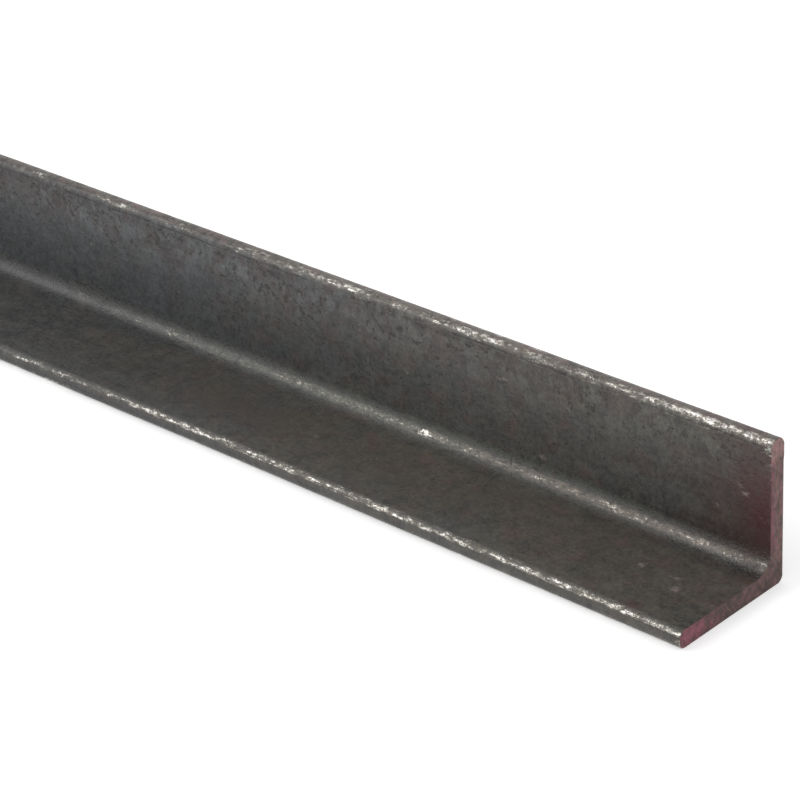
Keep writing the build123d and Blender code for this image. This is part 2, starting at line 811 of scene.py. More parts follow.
@dataclass(frozen=True)
class MarkingPaint:
    """The thin maroon paint that marks the stock's grade on its end.

    Attributes:
        thick: Its colour where it lies thick.
        thin: Its colour where it is rubbed thin and chalky.
        haze: Its colour where it drifted onto the scale.
        haze_mix: How strongly it did, by the pattern of its patches.
        low: Where round the girth the drift is wet and shiny.
        smoother: How much less blurred the shine is under the drift.
        low_smoother: How much less again where it is wet.
    """

    thick: Colour = srgb(108, 57, 67)
    thin: Colour = srgb(129, 99, 95)
    haze: Colour = srgb(58, 14, 14)
    haze_mix: Sum = Sum(0.75, ((Pattern(2.4, 4.0), 0.7),))
    low: Rise = Rise(13.0, 19.0)
    smoother: float = 0.04
    low_smoother: float = 0.12

    def hazed(self, chart: Chart, skin: Surface) -> Surface:
        """Lays the paint that drifted onto the scale beside the marked end over the skin.

        Args:
            chart: Where the point is.
            skin: The skin before.

        Returns:
            The hazed skin.
        """
        haze = (chart.field(Field.HAZE) * chart.total(self.haze_mix)).clamped()
        smoother = haze * (self.low.at(chart.girth) * self.low_smoother + self.smoother)
        colour = chart.graph.blend(haze, skin.colour, self.haze)
        return Surface(colour, skin.roughness - smoother, 0.0, skin.height)


@dataclass(frozen=True)
class SawnEnd:
    """The cut across the bar, with the marks that the blade left and the paint that is on one end.

    Attributes:
        half_mm: How far the cuts are from the bar's middle.
        paint: The paint.
        colour: The dull, tarnished colour of the cut.
        clean: The colour of the cut that was never painted.
        roughness: How blurred its shine is.
        metal: How metallic the clean cut is, and how much less the painted one.
        edge: How far before the end the cut's finish begins and is full.
        painted: Which end is painted.
        slanted: The blade's marks in the flat leg.
        upright: The blade's marks in the standing leg.
        turning: How high the one gives way to the other.
        relief: How far the marks stand up.
        patch: The patches of the paint.
        grime: The grime.
        top: The height above which the paint is chalky, and how far the patches move it.
        far: How near the flat leg's tip the paint is thick, and how far the patches move it.
        inner: How near the standing leg's inner face, and how far the patches move it.
        inner_foot: How high that begins.
        heel: How near the heel, and how far the patches move it.
        standing: Where the standing leg begins.
        reds: How thick the paint is at the far tip, the inner face, the heel and in the standing leg.
        red_grime: What the grime adds to that.
        top_chalk: How chalky the paint is at the top.
        chalk: How chalky it is below.
        chalk_grime: What the grime adds to that.
        contrast: How strongly the marks show, and how much less near the flat leg's tip.
        far_patch: How strongly the patches show there.
        shade: How light the cut is, by its grime.
        lights: How much lighter it is at the top, at the far tip and at the inner face.
    """

    half_mm: float
    paint: MarkingPaint = MarkingPaint()
    colour: Colour = srgb(69, 48, 43)
    clean: Colour = srgb(128, 124, 118)
    roughness: float = 0.5
    metal: tuple[float, float] = (0.75, 0.25)
    edge: tuple[float, float] = (0.1, 0.02)
    painted: Rise = Rise(0.0, 1.0)
    slanted: Pattern = Pattern(0.5, 3.0, 0.65, (1.0, 1.0, 5.0), (math.radians(40), 0.0, 0.0))
    upright: Pattern = Pattern(0.5, 3.0, 0.65, (1.0, 1.0, 5.0), (0.1, 0.0, 0.0))
    turning: Rise = Rise(5.0, 10.0)
    relief: float = 0.11
    patch: Pattern = Pattern(2.4, 4.0, 0.65)
    grime: Pattern = Pattern(1.3, 4.0)
    top: tuple[Rise, float] = (Rise(22.2, 24.4), 3.0)
    far: tuple[Rise, float] = (Rise(1.0, -6.0), 5.0)
    inner: tuple[Rise, float] = (Rise(11.2, 10.3), 0.8)
    inner_foot: Rise = Rise(4.0, 8.0)
    heel: tuple[Rise, float] = (Rise(12.0, 14.5), 3.0)
    standing: Rise = Rise(2.0, 6.0)
    reds: tuple[float, float, float, float] = (0.8, 0.75, 0.35, 0.14)
    red_grime: Sum = Sum(-0.35, ((grime, 0.7),))
    top_chalk: float = 0.9
    chalk: Sum = Sum(0.1, ((patch, 0.5),))
    chalk_grime: Sum = Sum(-0.15, ((grime, 0.3),))
    contrast: tuple[float, float] = (0.75, 0.3)
    far_patch: float = 0.45
    shade: Sum = Sum(0.655, ((grime, 0.85),))
    lights: Triple = (0.09, 0.22, -0.12)

    def cut(self, chart: Chart, skin: Surface) -> Surface:
        """Lays the two cut ends over the skin.

        Args:
            chart: Where the point is.
            skin: The rest of the bar's skin.

        Returns:
            The skin with its ends.
        """
        graph, across, up = chart.graph, chart.across, chart.up
        painted = self.painted.at(chart.along)
        marks = graph.blend_values(self.turning.at(up), chart.noise(self.slanted), chart.noise(self.upright))
        patch = chart.noise(self.patch)
        edges = ((self.top, up), (self.far, across), (self.inner, across), (self.heel, across - up))
        top, far, inner, heel = (edge.at(way + patch * ragged) for (edge, ragged), way in edges)
        inner = inner * self.inner_foot.at(up) * (1 - top)
        standing = self.standing.at(up)
        chalky = (top * self.top_chalk).most(standing * chart.total(self.chalk))
        chalky = (chalky + chart.total(self.chalk_grime)) * painted
        red: Value | float = 0.0
        for zone, share in zip((far, inner, heel, standing * (1 - top)), self.reds, strict=True):
            red = (zone * share).most(red)
        colour = graph.blend(painted, self.clean, self.colour)
        colour = graph.blend(chalky.clamped(), colour, self.paint.thin)
        red = (red + chart.total(self.red_grime)) * painted
        colour = graph.blend(red.clamped(), colour, self.paint.thick)
        contrast, far_contrast = self.contrast
        shade = (marks - HALF) * (contrast - far * far_contrast) + (patch - HALF) * far * self.far_patch
        for zone, light in zip((top, far, inner), self.lights, strict=True):
            shade = shade + zone * light
        colour = graph.shaded(colour, shade + chart.total(self.shade))
        metal, less = self.metal
        end = Surface(colour, self.roughness, metal - painted * less, marks * self.relief)
        begin, full = self.edge
        return graph.lay(Rise(self.half_mm - begin, self.half_mm - full).at(abs(chart.along)), skin, end)


@dataclass(frozen=True)
class BareSteel:
    """Steel that rubbing has laid bare along the tips and in the root, in streaks and specks.

    Attributes:
        bright: The colour of the freshest metal.
        dull: The colour of metal that has dulled again.
        lines: The rubbed streaks.
        threads: Finer and longer streaks.
        specks: The specks.
        fine: The finest of them.
        blotch: The patches that were rubbed more.
        root: The root.
        lip: The sharp line on the corner of the flat leg's tip.
        front: Where the flat leg's tip faces outwards and is rubbed less.
        front_foot: Where that ends below.
        front_part: Where along the bar it begins.
        front_spared: How much less it is rubbed.
        crest: The middle of the standing leg's tip, which is rubbed less too.
        crest_spared: How much less.
        wear_share: How much the wear counts for whether metal shows, more at the lip.
        broken: How the patterns break the metal up.
        lip_threads: How much more the threads do at the lip.
        blotched: How much the blotches do, and how much less in the root.
        root_calm: How much less all of them do in the root.
        bare: Where in the sum of wear and patterns metal begins to show and is whole.
        begun: How much wear it takes for any metal to show.
        pits: The pattern of the pits in the root's metal, wider near the painted end.
        pits_level: Where a pit begins and is full.
        pits_share: How much metal a pit takes away.
        shine_share: How much the wear counts for how bright the metal is.
        shine_broken: How much the patterns do, and how much less in the root.
        shine_level: Where the metal is dull and where it is bright.
        roughness: How blurred its shine is.
        relief: How far the scratches stand up.
    """

    bright: Colour = srgb(222, 219, 214)
    dull: Colour = srgb(124, 119, 109)
    lines: Pattern = Pattern(0.45, 2.0, drawn=(5.5, 1.0, 1.0))
    threads: Pattern = Pattern(0.34, 2.0, drawn=(11.0, 1.0, 1.0))
    specks: Pattern = Pattern(0.54, drawn=(1.7, 1.0, 1.0))
    fine: Pattern = Pattern(0.225, 2.0)
    blotch: Pattern = Pattern(2.4, drawn=(2.6, 1.0, 1.0))
    root: Band = Band(22.4, 3.0, 1.5)
    lip: Band = Band(44.05, 0.42, 0.12)
    front: Rise = Rise(44.3, 44.5)
    front_foot: Rise = Rise(45.7, 45.4)
    front_part: Rise = Rise(152.0, 150.6)
    front_spared: float = 0.85
    crest: Band = Band(0.0, 0.5, 0.2)
    crest_spared: Sum = Sum(0.5, areas=(Area(0.25, LAST_PART),))
    wear_share: Sum = Sum(0.66, areas=(Area(0.12, around=lip),))
    broken: Sum = Sum(-0.78, ((lines, 0.42), (threads, 0.12), (specks, 0.62), (fine, 0.4)))
    lip_threads: float = 0.4
    blotched: Sum = Sum(0.35, areas=(Area(-0.2, around=root),))
    root_calm: Sum = Sum(1.0, areas=(Area(-0.1, around=root),))
    bare: Rise = Rise(0.0, 1.0)
    begun: Rise = Rise(0.0, 0.3)
    pits: Sum = Sum(patterns=((Pattern(0.6, 2.0, 0.5), 1.0),), areas=(Area(0.07, LAST_PART),))
    pits_level: Rise = Rise(0.54, 0.66)
    pits_share: float = 0.8
    shine_share: Sum = Sum(0.6, areas=(Area(0.04, around=lip), Area(-0.1, around=root)))
    shine_broken: Sum = Sum(1.2, areas=(Area(-0.25, around=root),))
    shine_level: Rise = Rise(0.28, 1.1)
    roughness: Sum = Sum(0.3, ((blotch, 0.12),))
    relief: Sum = Sum(patterns=((lines, 0.03), (specks, 0.03)))

    def worn(self, chart: Chart, skin: Surface) -> Surface:
        """Lays the bare steel over the skin where it is worn, the hardest rubbed the brightest.

        Args:
            chart: Where the point is.
            skin: The skin before it was rubbed.

        Returns:
            The worn skin.
        """
        graph, girth = chart.graph, chart.girth
        front = self.front.at(girth) * self.front_foot.at(girth) * self.front_part.at(chart.along)
        crest = self.crest.at(girth) * chart.total(self.crest_spared)
        wear = chart.field(Field.WEAR) * (1 - (front * self.front_spared).most(crest))
        at_lip = self.lip.at(girth) * self.lip_threads
        broken = chart.total(self.broken) + (chart.noise(self.threads) - HALF) * at_lip
        broken = broken + (chart.noise(self.blotch) - HALF) * chart.total(self.blotched)
        broken = broken * chart.total(self.root_calm)
        pits = self.pits_level.at(chart.total(self.pits)) * self.root.at(girth)
        bare = self.bare.at(wear * chart.total(self.wear_share) + broken)
        bare = bare * self.begun.at(wear) * (1 - pits * self.pits_share)
        shine = wear * chart.total(self.shine_share) + broken * chart.total(self.shine_broken)
        colour = graph.blend(self.shine_level.at(shine), self.dull, self.bright)
        height = chart.total(self.relief) + lean(chart)
        return graph.lay(bare, skin, Surface(colour, chart.total(self.roughness), 1.0, height))


def steel_finish(half_mm: float) -> bpy.types.Material:
    """Builds the bar's material: scale, paint haze and scuffs, the cut ends, and bare steel where it is worn.

    Args:
        half_mm: Half the bar's length.

    Returns:
        The material.
    """
    material = bpy.data.materials.new(SLOT)
    chart = Chart(Graph(material))
    oxide = ScaleLayer(chart, MillScale())
    skin = MarkingPaint().hazed(chart, oxide.surface())
    skin = SawnEnd(half_mm).cut(chart, oxide.scuffed(skin))
    skin = BareSteel().worn(chart, skin)
    chart.graph.show(skin, oxide.scale.ior)
    return material


# Marks on the skin


@dataclass(frozen=True)
class Mark:
    """A soft-edged patch on the skin.

    Attributes:
        distance: How far its middle is from the painted end, in millimetres.
        girth: How far its middle is round the girth, in millimetres.
        length: Its length along the bar, in millimetres.
        width: Its width across the bar, in millimetres.
        strength: How strong it is, 1 being plain and more than that heavy.
    """

    distance: float
    girth: float
    length: float
    width: float
    strength: float = 1.0

    def at(self, distance: np.ndarray, girth: np.ndarray, fade: float | None = None) -> np.ndarray:
        """Works out how much of the mark there is at points of the skin.

        Args:
            distance: How far the points are from the painted end, in millimetres.
            girth: How far they are round the girth, in millimetres.
            fade: How long each end of it fades, or None where it fades from its middle.

        Returns:
            How much of it each point gets.
        """
        if fade is None:
            lengthways = near(distance, self.distance, self.length)
        else:
            lengthways = smooth((self.length / 2 + fade / 2 - np.abs(distance - self.distance)) / fade)
        return lengthways * near(girth, self.girth, self.width) * self.strength


@dataclass(frozen=True)
class Track:
    """A line along the bar, such as a tip's corner, with the stretches of it that are worn.

    Attributes:
        girth: How far it is round the girth, in millimetres.
        width: The width of the worn line, in millimetres.
        runs: The nearest and furthest distance of each worn stretch and its strength.
        known_to: The distance past which further stretches are made up, in millimetres.
        seed: The seed for those.
        lengths: The shortest and the longest of those.
        gaps: The shortest and the longest gap after one.
        strengths: The least and the greatest strength of one.
    """

    girth: float
    width: float
    runs: tuple[Triple, ...] = ()
    known_to: float = 190.0
    seed: int = 1
    lengths: tuple[float, float] = (2.0, 16.0)
    gaps: tuple[float, float] = (0.5, 9.0)
    strengths: tuple[float, float] = (0.35, 1.0)

    def marks(self, end_mm: float) -> list[Mark]:
        """Gives the worn stretches as marks.

        Args:
            end_mm: The length of the bar.

        Returns:
            The marks, the made-up ones after the known ones.
        """
        spans = list(self.runs)
        chance = random.Random(self.seed)
        start = self.known_to
        while start < end_mm:
            stop = start + chance.uniform(*self.lengths)
            spans.append((start, stop, chance.uniform(*self.strengths)))
            start = stop + chance.uniform(*self.gaps)
        return [Mark((a + b) / 2, self.girth, b - a, self.width, strength) for a, b, strength in spans]


# The tips' inner corners and the root, each from the painted end onwards.
STANDING_TIP = Track(
    girth=1.02,
    width=1.25,
    seed=11,
    runs=(
        (-1.0, 5.0, 1.25), (5.0, 20.0, 1.12), (19.0, 26.0, 1.0), (26.0, 32.5, 1.0), (34.2, 38.3, 1.05),
        (41.3, 43.3, 1.0), (44.6, 49.6, 0.9), (52.5, 60.5, 1.12), (59.0, 64.2, 1.15),
        (66.6, 68.3, 0.85), (73.7, 77.8, 0.8), (82.8, 92.0, 1.1), (95.0, 117.0, 0.65),
        (125.0, 128.0, 0.7), (137.0, 148.0, 0.65), (157.8, 159.2, 0.55), (162.6, 165.5, 0.7),
        (178.0, 187.0, 0.5),
    ),
)
FLAT_TIP = Track(
    girth=43.9,
    width=0.95,
    seed=12,
    runs=(
        (-1.0, 12.0, 0.95), (11.0, 20.0, 1.05), (20.0, 25.4, 0.82), (25.0, 31.2, 1.05),
        (34.0, 37.0, 1.0), (41.0, 52.0, 0.85), (56.0, 64.0, 1.0), (71.0, 77.8, 0.8), (86.0, 90.0, 0.6),
        (97.0, 104.0, 1.1), (104.0, 119.5, 0.95), (123.0, 125.0, 0.9), (128.4, 132.0, 0.65),
        (143.4, 151.8, 0.5), (155.0, 187.0, 0.45),
    ),
)
ROOT = Track(
    girth=22.5,
    width=1.3,
    seed=13,
    runs=(
        (6.0, 15.5, 0.74), (28.0, 33.0, 0.8), (38.0, 40.0, 0.7), (45.0, 48.0, 0.8), (67.6, 71.4, 1.35),
        (82.0, 83.6, 0.8), (88.0, 89.4, 0.8), (127.6, 132.0, 0.75), (137.6, 139.7, 0.7),
        (144.0, 145.0, 0.7), (152.0, 155.5, 0.75),
    ),
)
# The tips' outer corners and the heel, whose worn stretches are all made up.
BACK_TIP = Track(girth=-1.3, width=1.6, known_to=0.0, seed=14)
HEEL = Track(girth=-25.7, width=1.8, known_to=0.0, seed=15)
LOWER_TIP = Track(girth=46.6, width=1.4, known_to=0.0, seed=16)
TRACKS = (STANDING_TIP, FLAT_TIP, ROOT, BACK_TIP, HEEL, LOWER_TIP)

# Long stretches of the tips and the root that are lightly rubbed.
RUBBED = (
    Mark(10.0, 1.1, 34.0, 2.1, 0.75), Mark(25.0, 1.08, 110.0, 1.9, 0.62),
    Mark(50.0, 1.05, 140.0, 1.8, 0.54), Mark(200.0, 0.95, 250.0, 1.7, 0.24),
    Mark(57.0, -0.3, 24.0, 1.1, 0.95), Mark(36.0, -0.3, 14.0, 1.0, 0.7),
    Mark(84.0, -0.3, 22.0, 1.0, 0.65), Mark(45.0, 43.95, 130.0, 1.5, 0.62),
    Mark(150.0, 43.95, 330.0, 1.4, 0.42), Mark(58.0, 22.5, 104.0, 1.4, 0.58),
    Mark(64.0, 22.5, 162.0, 1.8, 0.35), Mark(3.0, 22.1, 9.0, 0.7, 0.85),
)
# The edge of the painted end, rubbed bright at the tips and the root.
RIM = (
    Mark(0.5, 2.2, 1.6, 2.6, 1.0), Mark(0.1, 6.0, 0.5, 4.5, 0.5), Mark(0.4, 22.5, 1.4, 1.7, 1.05),
    Mark(0.1, 26.5, 0.6, 4.0, 0.7), Mark(0.4, 44.2, 1.4, 1.6, 1.0), Mark(0.0, 45.6, 0.6, 2.4, 1.9),
)
# Small pale scuffs on the inside of the angle.
SCUFFS = (
    Mark(150.7, 11.1, 1.2, 0.8), Mark(74.0, 12.8, 1.0, 0.8, 0.8), Mark(101.0, 31.5, 1.2, 0.7, 0.75),
    Mark(84.5, 33.2, 1.2, 0.7, 0.7), Mark(34.2, 11.3, 1.4, 0.8, 0.9), Mark(53.0, 7.3, 2.6, 0.9, 0.9),
    Mark(45.0, 18.8, 2.2, 0.9, 0.9), Mark(4.6, 11.3, 1.8, 1.1, 0.86), Mark(5.6, 10.2, 1.4, 0.8, 0.9),
    Mark(10.0, 15.3, 1.4, 0.9, 0.9), Mark(8.0, 34.8, 1.6, 1.5, 1.0), Mark(10.0, 32.1, 2.2, 1.0, 0.9),
    Mark(16.7, 32.3, 1.8, 1.4, 0.8),
)
# Old wet stains.
STAINS = (
    Mark(0.0, 19.8, 14.0, 4.5, 1.0), Mark(176.0, 4.5, 22.0, 6.0, 0.45),
    Mark(158.8, 4.8, 3.4, 2.6, 0.9), Mark(101.5, 33.6, 26.0, 9.0, 0.9),
    Mark(70.0, 35.0, 30.0, 12.0, 0.35), Mark(25.0, 30.0, 34.0, 14.0, 0.25),
)
# Where the end's paint drifted onto the scale.
HAZES = (
    Mark(0.0, 11.8, 13.0, 15.0, 0.95), Mark(5.0, 12.5, 15.0, 9.0, 0.4),
    Mark(0.0, 18.5, 12.0, 6.0, 0.5), Mark(0.0, 19.5, 28.0, 5.0, 0.3), Mark(0.0, 26.0, 5.0, 4.0, 0.35),
    Mark(10.6, 42.1, 3.0, 2.0, 0.5), Mark(5.0, -0.4, 4.5, 1.8, 0.8), Mark(12.5, -0.4, 4.0, 1.8, 0.6),
)


# The bar


def smooth(part: np.ndarray) -> np.ndarray:
    """Turns a ramp into a smooth rise from 0 to 1."""
    held = np.clip(part, 0.0, 1.0)
    return held * held * (3.0 - 2.0 * held)


def near(places: np.ndarray, middle: float, reach: float) -> np.ndarray:
    """How near places are to a middle: 1 there, and 0 from the reach outwards."""
    return smooth(1.0 - np.abs(places - middle) / reach)


def alone(thing: bpy.types.Object | None) -> None:
    """Leaves only one object selected and active, or none."""
    bpy.ops.object.select_all(action="DESELECT")
    bpy.context.view_layer.objects.active = thing
    if thing is not None:
        thing.select_set(True)


class Part(Enum):
    """The kinds of part that edit mode selects."""

    POINTS = "VERT"
    EDGES = "EDGE"
    FACES = "FACE"


class Workpiece:
    """A mesh on the bench in edit mode, whose parts are selected by a test."""

    def __init__(self, thing: bpy.types.Object) -> None:
        """Takes a new object with its size and place applied and opens it in edit mode."""
        self.thing = thing
        bpy.ops.object.mode_set(mode="EDIT")

    def select(self, kind: Part, test: Callable[[bmesh.types.BMVert], bool]) -> None:
        """Selects the parts of one kind that pass a test, and no others.

        Args:
            kind: Points, edges or faces.
            test: Tells of one part whether it is wanted.
        """
        bpy.ops.mesh.select_mode(type=kind.value)
        bpy.ops.mesh.select_all(action="DESELECT")
        mesh = bmesh.from_edit_mesh(self.thing.data)
        parts = {Part.POINTS: mesh.verts, Part.EDGES: mesh.edges, Part.FACES: mesh.faces}[kind]
        for part in [part for part in parts if test(part)]:
            part.select_set(True)
        bmesh.update_edit_mesh(self.thing.data)

    def done(self) -> bpy.types.Object:
        """Leaves edit mode and gives the object back."""
        bpy.ops.object.mode_set(mode="OBJECT")
        return self.thing


class Axis(Enum):
    """The way that an unevenness moves the skin."""

    ACROSS = "Y"
    UP = "Z"
    OUTWARD = "NORMAL"


@dataclass(frozen=True)
class Unevenness:
    """A small departure of the skin from the true section.

    Attributes:
        name: What it is called.
        axis: Which way it moves the skin.
        size_mm: The size of its swells.
        swing_mm: From its deepest hollow to its highest swell.
        layers: How many finer layers the noise has.
        share: How much of it a point gets, from its height, its reach from the heel and its girth, in mm.
    """

    name: str
    axis: Axis
    size_mm: float
    swing_mm: float
    layers: int
    share: Callable[[np.ndarray, np.ndarray, np.ndarray], np.ndarray]


def risen(up: np.ndarray, reach: np.ndarray, girth: np.ndarray) -> np.ndarray:
    """How high points are, from the floor to the top of the standing leg."""
    return smooth(up / LEG_MM)


def swayed(up: np.ndarray, reach: np.ndarray, girth: np.ndarray) -> np.ndarray:
    """How far points are from the heel, along whichever leg they are on."""
    return smooth(np.maximum(up, reach) / LEG_MM)


def everywhere(up: np.ndarray, reach: np.ndarray, girth: np.ndarray) -> np.ndarray:
    """The same at all points."""
    return np.ones_like(girth)


def around(*spots: tuple[float, float]) -> Callable[[np.ndarray, np.ndarray, np.ndarray], np.ndarray]:
    """How near points are to some places round the girth, each given with its reach."""
    return lambda up, reach, girth: np.maximum.reduce([near(girth, *spot) for spot in spots])


@dataclass(frozen=True)
class Flats:
    """The long flats on one side of the section.

    Attributes:
        least: Their least width, as a share of the leg's.
        most: Their greatest width, as a share of the leg's.
        cuts: How many times they are divided.
    """

    least: float
    most: float
    cuts: int


@dataclass(frozen=True)
class Burr:
    """The short burr that the blade left high on the back edge of the painted end.

    Attributes:
        out: How far it stands out.
        low: How high it begins.
        high: How high it ends.
        depth: How far from the end it reaches.
        wrap: How far round the back edge it reaches.
    """

    out: float = 0.13 * MM
    low: float = 21.2 * MM
    high: float = 24.4 * MM
    depth: float = 0.8 * MM
    wrap: float = 0.3 * MM


@dataclass(frozen=True)
class Sheet:
    """The square sheet that the skin is laid out on.

    Attributes:
        size_mm: Its width.
        margin_mm: The space between the pieces.
        end_scale: How much larger than the rest the ends are drawn.
    """

    size_mm: float = 206.0
    margin_mm: float = 2.0
    end_scale: float = 1.6


@dataclass
class RolledAngle:
    """A bar of rolled angle, with its true section and the small faults of its rolling, cutting and handling.

    Attributes:
        length: The bar's length.
        leg: The width of each leg.
        thickness: The thickness of the legs.
        root_radius: The radius in the inside corner.
        heel_radius: The radius at the outside corner.
        tip_radius: The radius on the edges of the tips.
        end_break: How far the edges of the cut ends are broken.
        root_steps: The number of steps in the root's curve.
        edge_steps: The number of steps in the other curves of the section.
        end_steps: The number of steps in the broken edge of the ends.
        flats: The flats outside and inside.
        length_cuts: How many times the length is divided, in two goes.
        smooth_angle: The angle up to which two faces look like one surface.
        burr: The burr on the painted end.
        sheet: The sheet that the skin is laid out on.
        fades_mm: The shortest and the longest fade at the end of a worn stretch.
        fade_share: How much of its length the fade is between those.
        weights: How many different weights a vertex group has.
        faults: The departures from the true section.
        thing: The bar's object, once it is roughed out.
        girth: How far round the girth each point of its mesh is, in millimetres.
        total_girth: How far it is all round.
    """

    length: float = 304.8 * MM
    leg: float = LEG_MM * MM
    thickness: float = 3.175 * MM
    root_radius: float = 3.175 * MM
    heel_radius: float = 1.25 * MM
    tip_radius: float = 1.3 * MM
    end_break: float = 0.15 * MM
    root_steps: int = 10
    edge_steps: int = 6
    end_steps: int = 2
    flats: tuple[Flats, Flats] = (Flats(0.8, 1.0, 22), Flats(0.6, 0.8, 31))
    length_cuts: tuple[int, int] = (7, 75)
    smooth_angle: float = math.radians(36)
    burr: Burr = Burr()
    sheet: Sheet = Sheet()
    fades_mm: tuple[float, float] = (3.0, 30.0)
    fade_share: float = 0.25
    weights: int = 24
    faults: tuple[Unevenness, ...] = (
        Unevenness("rise", Axis.UP, 55.0, 0.22, 1, risen),
        Unevenness("sway", Axis.ACROSS, 48.0, 0.22, 1, swayed),
        Unevenness("ripple", Axis.OUTWARD, 9.0, 0.03, 1, everywhere),
        Unevenness("nicks", Axis.OUTWARD, 2.2, 0.16, 3, around((0.6, 2.6), (45.0, 2.4))),
        Unevenness("root_ripple", Axis.OUTWARD, 2.6, 0.05, 2, around((22.5, 3.0))),
    )
    thing: bpy.types.Object | None = field(default=None, init=False)
    girth: np.ndarray | None = field(default=None, init=False)
    total_girth: float = field(default=0.0, init=False)

    @property
    def wall(self) -> float:
        """Where the inner face of the standing leg is, across the bar."""
        return self.leg / 2 - self.thickness

    @property
    def half_mm(self) -> float:
        """Half the bar's length, in millimetres."""
        return self.length / MM / 2

    def make(self) -> bpy.types.Object:
        """Builds and dresses the bar.

        Returns:
            The finished bar.
        """
        work = self.rough_out()
        self.round_corners(work)
        self.divide_section(work)
        self.close_ends(work)
        self.divide_length(work)
        self.raise_burr(work)
        self.thing = work.done()
        self.thing.name = "rolled_angle"
        self.thing.data.name = "rolled_angle"
        self.measure_girth()
        self.lay_out()
        self.mark()
        self.weather()
        self.dress()
        return self.thing

    def rough_out(self) -> Workpiece:
        """Makes the flat leg from a block and raises the standing leg from its back edge.

        Returns:
            The square-cornered angle.
        """
        alone(None)
        size = (self.length, self.leg, self.thickness)
        bpy.ops.mesh.primitive_cube_add(size=1.0, location=(0, 0, self.thickness / 2), scale=size)
        bpy.ops.object.transform_apply(location=True, rotation=True, scale=True)
        work = Workpiece(bpy.context.active_object)
        bpy.ops.mesh.select_all(action="SELECT")
        bpy.ops.mesh.bisect(plane_co=(0, self.wall, 0), plane_no=(0, 1, 0))
        wall = self.wall
        work.select(Part.FACES, lambda face: face.normal.z > FACING and face.calc_center_median().y > wall)
        bpy.ops.mesh.extrude_region_move(TRANSFORM_OT_translate={"value": (0, 0, self.leg - self.thickness)})
        bpy.ops.mesh.select_all(action="SELECT")
        bpy.ops.mesh.dissolve_limited(angle_limit=math.radians(1))
        return work

    def round_corners(self, work: Workpiece) -> None:
        """Rounds the root, the heel and the edges of both tips.

        Args:
            work: The bar on the bench.
        """
        outside, tip = self.leg / 2, self.tip_radius
        corners = (
            (self.wall, self.thickness, self.root_radius, self.root_steps),
            (outside, 0.0, self.heel_radius, self.edge_steps),
            (self.wall, self.leg, tip, self.edge_steps),
            (outside, self.leg, tip, self.edge_steps),
            (-outside, self.thickness, tip, self.edge_steps),
            (-outside, 0.0, tip, self.edge_steps),
        )
        for across, up, radius, steps in corners:
            corner = (across, up)
            work.select(
                Part.EDGES,
                lambda edge, at=corner: all(math.dist(point.co.yz, at) < TOUCHING for point in edge.verts),
            )
            bpy.ops.mesh.bevel(offset=radius, segments=steps, profile=HALF, affect="EDGES")

    def divide_section(self, work: Workpiece) -> None:
        """Takes the ends off and divides the flats of the section.

        Args:
            work: The bar on the bench.
        """
        work.select(Part.FACES, lambda face: abs(face.normal.x) > FACING)
        bpy.ops.mesh.delete(type="ONLY_FACE")
        for flats in self.flats:
            low, high = flats.least * self.leg, flats.most * self.leg
            work.select(
                Part.EDGES,
                lambda edge, a=low, b=high: self.run(edge) < TOUCHING and a < edge.calc_length() < b,
            )
            bpy.ops.mesh.subdivide(number_cuts=flats.cuts)

    @staticmethod
    def run(edge: bmesh.types.BMEdge) -> float:
        """How far an edge runs along the bar."""
        return abs(edge.verts[0].co.x - edge.verts[1].co.x)

    def is_rim(self, edge: bmesh.types.BMEdge, end: float) -> bool:
        """Whether an edge runs round the bar's end at a place along it."""
        return self.run(edge) < TOUCHING and abs(edge.verts[0].co.x - end) < TOUCHING

    def close_ends(self, work: Workpiece) -> None:
        """Closes both ends, breaks their edges and sets a narrow border inside each.

        Args:
            work: The bar on the bench.
        """
        ends = (-self.length / 2, self.length / 2)
        for end in ends:
            work.select(Part.EDGES, lambda edge, x=end: self.is_rim(edge, x))
            bpy.ops.mesh.edge_face_add()
        work.select(Part.EDGES, lambda edge: any(self.is_rim(edge, x) for x in ends))
        bpy.ops.mesh.bevel(offset=self.end_break, segments=self.end_steps, profile=HALF, affect="EDGES")
        work.select(Part.FACES, lambda face: len(face.verts) > QUAD)
        bpy.ops.mesh.inset(thickness=self.end_break / 2, use_individual=True)
        bpy.ops.mesh.select_all(action="SELECT")
        bpy.ops.mesh.normals_make_consistent(inside=False)

    def divide_length(self, work: Workpiece) -> None:
        """Divides the bar along its length into pieces about as long as they are wide."""
        for cuts in self.length_cuts:
            work.select(Part.EDGES, lambda edge: self.run(edge) > self.leg / 2)
            bpy.ops.mesh.subdivide(number_cuts=cuts)

    def raise_burr(self, work: Workpiece) -> None:
        """Pushes the burr out.

        Args:
            work: The bar on the bench.
        """
        burr = self.burr
        start, back = self.length / 2 - burr.depth, self.leg / 2 - burr.wrap
        work.select(
            Part.POINTS,
            lambda point: point.co.x > start and point.co.y > back and burr.low < point.co.z < burr.high,
        )
        bpy.ops.transform.translate(value=(0, burr.out, 0))

    @staticmethod
    def walk_round(mesh: bmesh.types.BMesh, tip: Vector) -> list[Vector]:
        """Walks round the section at the bar's middle.

        Args:
            mesh: The bar's mesh.
            tip: Where to begin.

        Returns:
            The place of each point that is passed, down the inside of the angle first.
        """
        ring = {point for point in mesh.verts if abs(point.co.x) < TOUCHING}
        order, last = [min(ring, key=lambda point: (point.co - tip).length)], None
        while True:
            steps = [edge.other_vert(order[-1]) for edge in order[-1].link_edges]
            onward = [point for point in steps if point in ring and point is not last]
            onward.sort(key=lambda point: point.co.y if last is None else 0.0)
            last = order[-1]
            if onward[0] is order[0]:
                return [point.co.copy() for point in order]
            order.append(onward[0])

